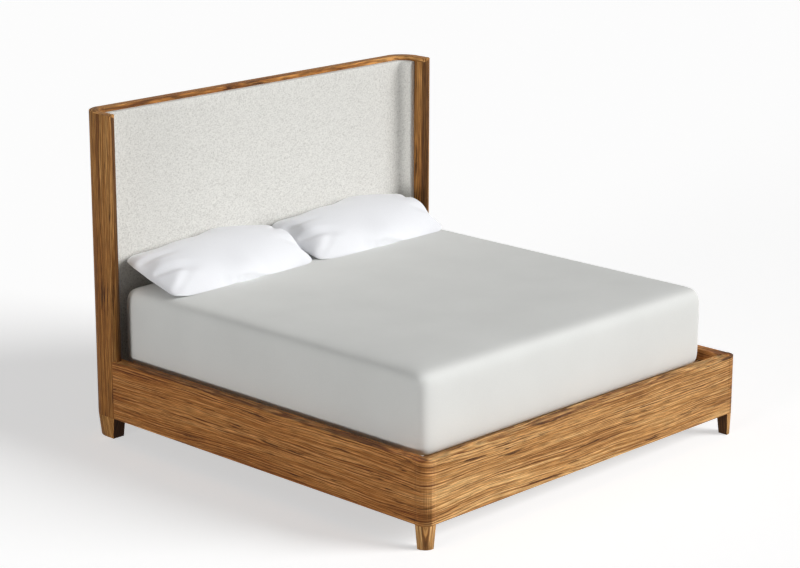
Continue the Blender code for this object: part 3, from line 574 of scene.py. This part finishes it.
def straighten(form, half, strips=40):
    """Draws each strip of a pillow out, so that its long seams run straight and level between rounded corners."""
    seams = {}
    for side in (-1, 1):
        found = [(0.0, 0.0)] * (strips + 1)
        for vert in form.verts:
            strip = round((vert.co.x / half.x + 1) / 2 * strips)
            found[strip] = max(found[strip], (side * vert.co.y, vert.co.z))
        reaches, rises = [reach for reach, _ in found], [rise for _, rise in found]
        for _ in range(8):
            rises = [(a + 2 * b + c) / 4 for a, b, c in zip(rises[:1] + rises, rises, rises[1:] + rises[-1:])]
        seams[side] = list(zip(reaches, rises))
    for vert in form.verts:
        across = vert.co.x / half.x
        place = (across + 1) / 2 * strips
        strip = min(int(place), strips - 1)
        seam = seams[1 if vert.co.y > 0 else -1]
        reach, rise = (a + (b - a) * (place - strip) for a, b in zip(seam[strip], seam[strip + 1]))
        deep = min(abs(vert.co.y) / max(reach, 1e-6), 1)
        wanted = half.y * (1 - 0.03 * across ** 2 - 0.17 * across ** 14)
        vert.co.y *= min(wanted / max(reach, 1e-6), 1.3)
        vert.co.z -= rise * deep ** 3


def crease(form, half):
    """Soft folds that run in from a pillow's ends, where the case is gathered at its corners."""
    for start, end, cut in CREASES:
        start, end = (Vector((x * half.x, y * half.y)) for x, y in (start, end))
        run = end - start
        for vert in form.verts:
            if vert.co.z > 0:
                share = min(max((vert.co.xy - start).dot(run) / run.length_squared, 0), 1)
                off = (vert.co.xy - start - run * share).length / CREASE_WIDTH
                vert.co.z *= 1 - cut * (1 - share) * (1 - off ** 2) * math.exp(-off ** 2)


def pillow(name, node_name, filled):
    """A filled pillow laid in its place, its back raised, pressed flat where it rests."""
    low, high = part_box(node_name)
    bed_low, bed_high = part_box("mattress")
    form = bmesh.new()
    form.from_mesh(filled)
    soften(form, 20)
    half = Vector((PILLOW_WIDTH, PILLOW_DEPTH, 2)) / 2
    fit_to_box(form, -half, half)
    straighten(form, half)
    for vert in form.verts:
        across, deep = vert.co.x / half.x, vert.co.y / half.y
        rounded = (1 + 0.25 * across ** 6) * (1 - 0.62 * deep ** 2)
        vert.co.z *= rounded * (PILLOW_CROWN if vert.co.z > 0 else PILLOW_BASE)
    crease(form, half)
    bmesh.ops.rotate(form, verts=form.verts[:], cent=(0, 0, 0), matrix=Matrix.Rotation(PILLOW_TILT, 3, "X"))
    bmesh.ops.rotate(form, verts=form.verts[:], cent=(0, 0, 0), matrix=Matrix.Rotation(PILLOW_TURN, 3, "Z"))
    at_low, at_high = span(form)
    middle = (low + high) / 2
    shift = Vector((middle.x, high.y - at_high.y, high.z - at_high.z))
    bmesh.ops.translate(form, verts=form.verts[:], vec=shift)
    for vert in form.verts:
        floor = mattress_height(vert.co, bed_low, bed_high) + 0.0012
        above = vert.co.z - floor
        vert.co.z = floor + (above if above > PRESS else PRESS * math.exp(above / PRESS - 1))
    piece = new_piece(name, to_mesh(name, form, math.radians(80)), node_name, node_name)
    smoothing = piece.modifiers.new("round", "SUBSURF")
    smoothing.levels = smoothing.render_levels = 1


def dress_nodes():
    """Every solid that stays gets its finish."""
    for node_name, piece in nodes.items():
        piece.material_slots[0].material = finish_for(node_name)[0]


# ---------------------------------------------------------------- studio

def lit_floor():
    """A white studio floor. What the camera sees is brighter than what lights the bed."""
    form = bmesh.new()
    bmesh.ops.create_grid(form, x_segments=1, y_segments=1, size=60)
    mesh = bpy.data.meshes.new("floor")
    form.to_mesh(mesh)
    form.free()
    floor = bpy.data.objects.new("floor", mesh)
    scene.collection.objects.link(floor)
    made = bpy.data.materials.new("studio_floor")
    made.use_nodes = True
    tree = made.node_tree
    tree.nodes.clear()
    seen = add(tree, "LightPath")
    looks = add(tree, "Math", {0: seen.outputs["Is Camera Ray"], 1: seen.outputs["Is Glossy Ray"]},
                operation="MAXIMUM").outputs[0]
    looks = add(tree, "Math", {0: looks, 1: seen.outputs["Is Transmission Ray"]}, operation="MAXIMUM").outputs[0]
    white = add(tree, "Mix", {0: looks, 6: (0.40, 0.40, 0.40, 1), 7: (0.72, 0.72, 0.72, 1)},
                data_type="RGBA").outputs[2]
    paint = add(tree, "BsdfDiffuse", {"Color": white}).outputs[0]
    looks = add(tree, "Math", {0: looks, 1: 0.54}, operation="MULTIPLY").outputs[0]
    glow = add(tree, "Emission", {"Strength": looks}).outputs[0]
    both = add(tree, "AddShader", {0: paint, 1: glow}).outputs[0]
    add(tree, "OutputMaterial", {"Surface": both})
    mesh.materials.append(made)


def studio():
    """Plain soft light: one wide key from the front right, a low fill, and an even room."""
    world = bpy.data.worlds.new("room")
    scene.world = world
    world.use_nodes = True
    tree = world.node_tree
    tree.nodes.clear()
    seen = add(tree, "LightPath")
    looks = add(tree, "Math", {0: seen.outputs["Is Camera Ray"], 1: seen.outputs["Is Glossy Ray"]},
                operation="MAXIMUM").outputs[0]
    looks = add(tree, "Math", {0: looks, 1: seen.outputs["Is Transmission Ray"]}, operation="MAXIMUM").outputs[0]
    level = add(tree, "MapRange", {"Value": looks, "To Min": 0.11, "To Max": 1.0}).outputs[0]
    sky = add(tree, "Background", {"Color": (1, 1, 1, 1), "Strength": level}).outputs[0]
    add(tree, "OutputWorld", {"Surface": sky})
    lamps = (
        ("key", (0.55, -0.71, 0.445), 3.25, 34),
        ("fill", (-1.0, -0.14, 0.04), 1.92, 18),
    )
    for name, towards, strength, spread in lamps:
        lamp = bpy.data.lights.new(name, "SUN")
        lamp.energy = strength
        lamp.angle = math.radians(spread)
        holder = bpy.data.objects.new(name, lamp)
        holder.rotation_euler = Vector(towards).to_track_quat("Z", "Y").to_euler()
        scene.collection.objects.link(holder)


def camera():
    """The photograph's viewpoint."""
    data = bpy.data.cameras.new("camera")
    data.sensor_width = 36
    data.lens = 107.147
    data.clip_end = 200
    holder = bpy.data.objects.new("camera", data)
    holder.location = (-7.7797, -7.4320, 3.6997)
    holder.rotation_euler = (1.3016, -0.0023, -0.8023)
    scene.collection.objects.link(holder)
    scene.camera = holder


dress_nodes()
smooth_timber()
headboard_lining()
stuffed("foam_mattress", "mattress", "mattress", 0.022, 0.006, 0.006, 4.0)
filled_pillow = sewn_pillow()
pillow("pillow_case_left", "pillow_left", filled_pillow)
pillow("pillow_case_right", "pillow_right", filled_pillow)
lit_floor()
studio()
camera()
scene.view_settings.view_transform = "Standard"
